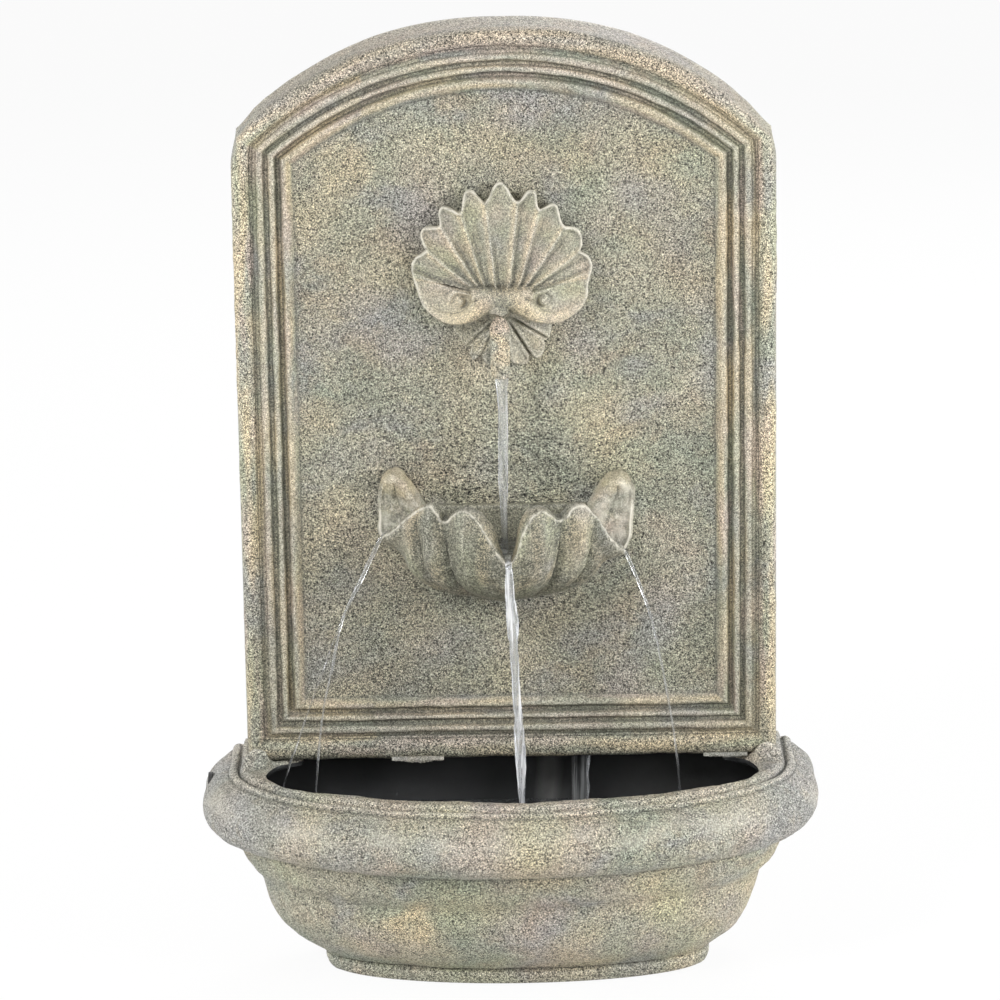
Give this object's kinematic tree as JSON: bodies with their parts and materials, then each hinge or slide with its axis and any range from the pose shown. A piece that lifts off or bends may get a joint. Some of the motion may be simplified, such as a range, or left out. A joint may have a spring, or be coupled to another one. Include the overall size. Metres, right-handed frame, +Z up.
{
  "type": "garden wall fountain",
  "caption": "Arched wall fountain with a shell rosette and spout, a fluted catch bowl, a deep half-round basin and a small recirculating pump.",
  "frame": {"origin": "middle of the basin's foot, on the wall plane, at floor level", "axes": "+Z up, +X to the viewer's right, -Y out from the wall towards the viewer"},
  "size_m": [0.445, 0.183, 0.6944],
  "materials": {
    "cast_stone": "pitted cast resin with a dark wash and ochre patches",
    "hose": "smooth black",
    "rubber_black": "matte",
    "plastic_black": "fine texture",
    "zinc_steel": "zinc plated",
    "core_steel": "laminated",
    "copper_winding": "enamelled wire",
    "epoxy": "cast epoxy",
    "ferrite": "bonded ferrite",
    "water": "clear moving water",
    "ceramic": "ground ceramic"
  },
  "bodies": {
    "fountain": {"wall_panel": "cast_stone", "basin": "cast_stone", "shell_rosette": "cast_stone", "spout": "cast_stone", "scallop_bowl": "cast_stone", "supply_tube": "hose", "spout_elbow": "plastic_black", "tube_clips": "plastic_black", "hanger_plates": "zinc_steel", "hanger_screws": "zinc_steel", "cord_grommet": "rubber_black", "pump_housing": "plastic_black", "pump_stator_core": "core_steel", "pump_coils": "copper_winding", "motor_potting": "epoxy", "rotor_shaft": "ceramic", "shaft_bushes": "rubber_black", "volute_cover": "plastic_black", "outlet_nozzle": "plastic_black", "suction_cups": "rubber_black", "cord_gland": "rubber_black"},
    "rotor": {"rotor_magnet": "ferrite", "impeller": "plastic_black"},
    "strainer": {"intake_cover": "plastic_black"},
    "dial": {"flow_dial": "plastic_black"}
  },
  "joints": [
    {"name": "rotor_spin", "type": "hinge", "parent": "fountain", "child": "rotor", "pos_m": [0.05, -0.034, 0.043], "axis": [1, 0, 0], "continuous": true},
    {"name": "strainer_pull", "type": "slide", "parent": "fountain", "child": "strainer", "axis": [-1, 0, 0], "range_m": [0, 0.02]},
    {"name": "dial_turn", "type": "hinge", "parent": "strainer", "child": "dial", "pos_m": [0.024, -0.034, 0.05], "axis": [1, 0, 0], "range_deg": [0, 90]}
  ]
}
